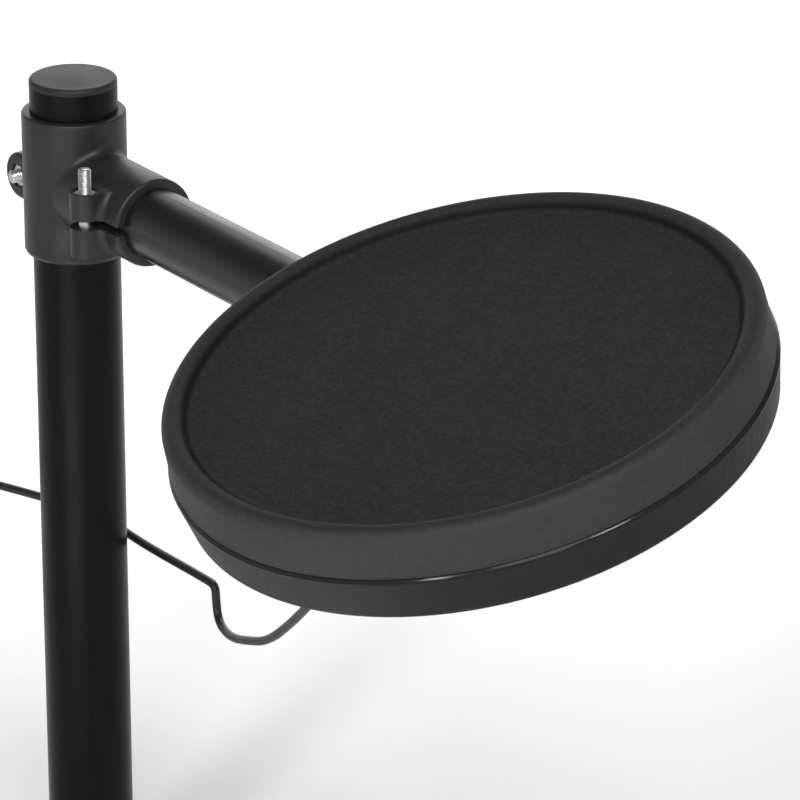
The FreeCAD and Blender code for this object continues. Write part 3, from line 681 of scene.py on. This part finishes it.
def lead():
    """The lead as a tube along its curving line between the pad and the clamp."""
    points = lead_line()
    bm = bmesh.new()
    loops = []
    side = Vector((0, 1, 0))
    for k, point in enumerate(points):
        ahead = (points[min(k + 1, len(points) - 1)] - points[max(k - 1, 0)]).normalized()
        side = (side - ahead * side.dot(ahead)).normalized()
        up = ahead.cross(side)
        loop = []
        for m in range(CORD_SIDES):
            angle = 2 * math.pi * m / CORD_SIDES
            loop.append(bm.verts.new(point + (side * math.cos(angle) + up * math.sin(angle)) * CORD_R))
        loops.append(loop)
    for a, b in zip(loops, loops[1:]):
        for m in range(CORD_SIDES):
            n = (m + 1) % CORD_SIDES
            bm.faces.new([a[m], a[n], b[n], b[m]])
    bm.faces.new(loops[0])
    bm.faces.new(loops[-1])
    piece = add_mesh("lead", bm, MATERIALS["cord_rubber"])
    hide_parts("pad_cord")
    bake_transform(piece)
    return piece, points


# Building

dress_nodes()
playing_face()
rubber_rim()
sensor_foam()
clamp_bolt("arm_bolt_threaded", "arm_clamp_bolt", "arm_bolt", ARM_BOLT, (0, 0, 1), ARM_BOLT_LONG)
clamp_bolt("post_bolt_threaded", "post_clamp_bolt", "post_bolt", POST_BOLT, (0, -1, 0), POST_BOLT_LONG)

pad_up = Vector((0, -math.sin(TILT), math.cos(TILT)))
pad_shoulder = pad_matrix() @ Vector((JACK_X, JACK_Y, PLUG_SHOULDER))
plug_grip("pad_plug_fluted", "pad_plug_grip", "pad", pad_shoulder, pad_up)
far_way = (Vector(LEAD_ROUTE[-1]) - Vector(LEAD_ROUTE[-2])).normalized()
far_shoulder = Vector(LEAD_ROUTE[-1]) + far_way * (PLUG_GRIP_L + BOOT_L)
far_grip = plug_grip("far_plug_fluted", "far_plug_grip", "clamp", far_shoulder, far_way)
lead_piece, lead_points = lead()


# Studio


def white_floor():
    """A plain pale floor, lit from within far off."""
    s = Shader("white_floor")
    s.set(Specular_IOR_Level=0.0, Roughness=0.9)
    s.colour(s.mottle(3, 4, grey(FLOOR_COLOUR - FLOOR_DRIFT), grey(FLOOR_COLOUR)))
    s.set(Emission_Color=(1, 1, 1, 1))
    away = s.span(s.length(s.place), *FLOOR_GLOW_RUN)
    s.link(s.combine(away, FLOOR_GLOW, "MULTIPLY"), s.bsdf.inputs["Emission Strength"])
    bm = bmesh.new()
    bmesh.ops.create_grid(bm, x_segments=1, y_segments=1, size=FLOOR_HALF)
    floor = add_mesh("floor", bm, s.material)
    floor.location.z = -FLOOR_GAP


def world_light():
    """Pale walls that fall off to a dim ceiling, with a bright one behind the part."""
    world = bpy.data.worlds.new("studio")
    scene.world = world
    world.use_nodes = True
    tree = world.node_tree
    way = tree.nodes.new("ShaderNodeTexCoord")
    split = tree.nodes.new("ShaderNodeSeparateXYZ")
    tree.links.new(way.outputs["Generated"], split.inputs[0])
    walls = tree.nodes.new("ShaderNodeValToRGB")
    stops = ((WALL_TOP, WALL), (CEILING_FROM, CEILING))
    for spot, (height, level) in zip(walls.color_ramp.elements, stops):
        spot.position = height
        spot.color = (level, level, level, 1)
    tree.links.new(split.outputs["Z"], walls.inputs["Fac"])
    behind = tree.nodes.new("ShaderNodeVectorMath")
    behind.operation = "DOT_PRODUCT"
    behind.inputs[1].default_value = (-math.sin(CAMERA_AZIMUTH), math.cos(CAMERA_AZIMUTH), 0)
    tree.links.new(way.outputs["Generated"], behind.inputs[0])
    back_wall = tree.nodes.new("ShaderNodeMath")
    back_wall.operation = "MULTIPLY"
    for socket, source, run, levels in (
        (back_wall.inputs[0], behind.outputs["Value"], BACK_EDGE, (0, BACK_WALL)),
        (back_wall.inputs[1], split.outputs["Z"], BACK_TOP, (1, 0)),
    ):
        span = tree.nodes.new("ShaderNodeMapRange")
        for name, value in zip(("From Min", "From Max", "To Min", "To Max"), (*run, *levels)):
            span.inputs[name].default_value = value
        tree.links.new(source, span.inputs["Value"])
        tree.links.new(span.outputs["Result"], socket)
    total = tree.nodes.new("ShaderNodeMath")
    tree.links.new(walls.outputs["Color"], total.inputs[0])
    tree.links.new(back_wall.outputs[0], total.inputs[1])
    tree.links.new(total.outputs[0], tree.nodes["Background"].inputs["Color"])


def lamp(name, place, aim, size, power, spread=math.pi):
    """A soft rectangular lamp at a place, aimed at a point; a grid can narrow its spread."""
    data = bpy.data.lights.new(name, "AREA")
    data.shape = "RECTANGLE"
    data.size, data.size_y = size
    data.energy = power
    data.spread = spread
    holder = bpy.data.objects.new(name, data)
    holder.location = place
    holder.rotation_mode = "QUATERNION"
    holder.rotation_quaternion = (aim - place).to_track_quat("-Z", "Y")
    scene.collection.objects.link(holder)


def softbox(name, azimuth, elevation, size, power):
    """A lamp that faces the part from a direction, azimuth as the camera's."""
    a = math.radians(azimuth)
    e = math.radians(elevation)
    back = Vector((math.sin(a) * math.cos(e), -math.cos(a) * math.cos(e), math.sin(e)))
    middle = Vector((PAD_X / 2, 0, ARM_Z))
    lamp(name, middle + back * SOFTBOX_AWAY, middle, size, power)


def floor_lamp(name, place, size, power, spread):
    """A lamp that shines straight down on the floor."""
    x, y, _ = place
    lamp(name, Vector(place), Vector((x, y, 0)), size, power, math.radians(spread))


def photo_camera():
    """The camera, where the photograph's was."""
    data = bpy.data.cameras.new("camera")
    data.lens = CAMERA_LENS_MM
    data.sensor_width = CAMERA_SENSOR_MM
    camera = bpy.data.objects.new("camera", data)
    level = math.cos(CAMERA_ELEVATION)
    look = Vector((
        -math.sin(CAMERA_AZIMUTH) * level,
        math.cos(CAMERA_AZIMUTH) * level,
        -math.sin(CAMERA_ELEVATION),
    ))
    camera.rotation_mode = "QUATERNION"
    camera.rotation_quaternion = look.to_track_quat("-Z", "Y") @ Quaternion((0, 0, 1), CAMERA_ROLL)
    camera.location = CAMERA_PLACE
    scene.collection.objects.link(camera)
    scene.camera = camera


white_floor()
world_light()
for lamp_name, values in SOFTBOXES.items():
    softbox(lamp_name, *values)
for lamp_name, values in FLOOR_LAMPS.items():
    floor_lamp(lamp_name, *values)
photo_camera()
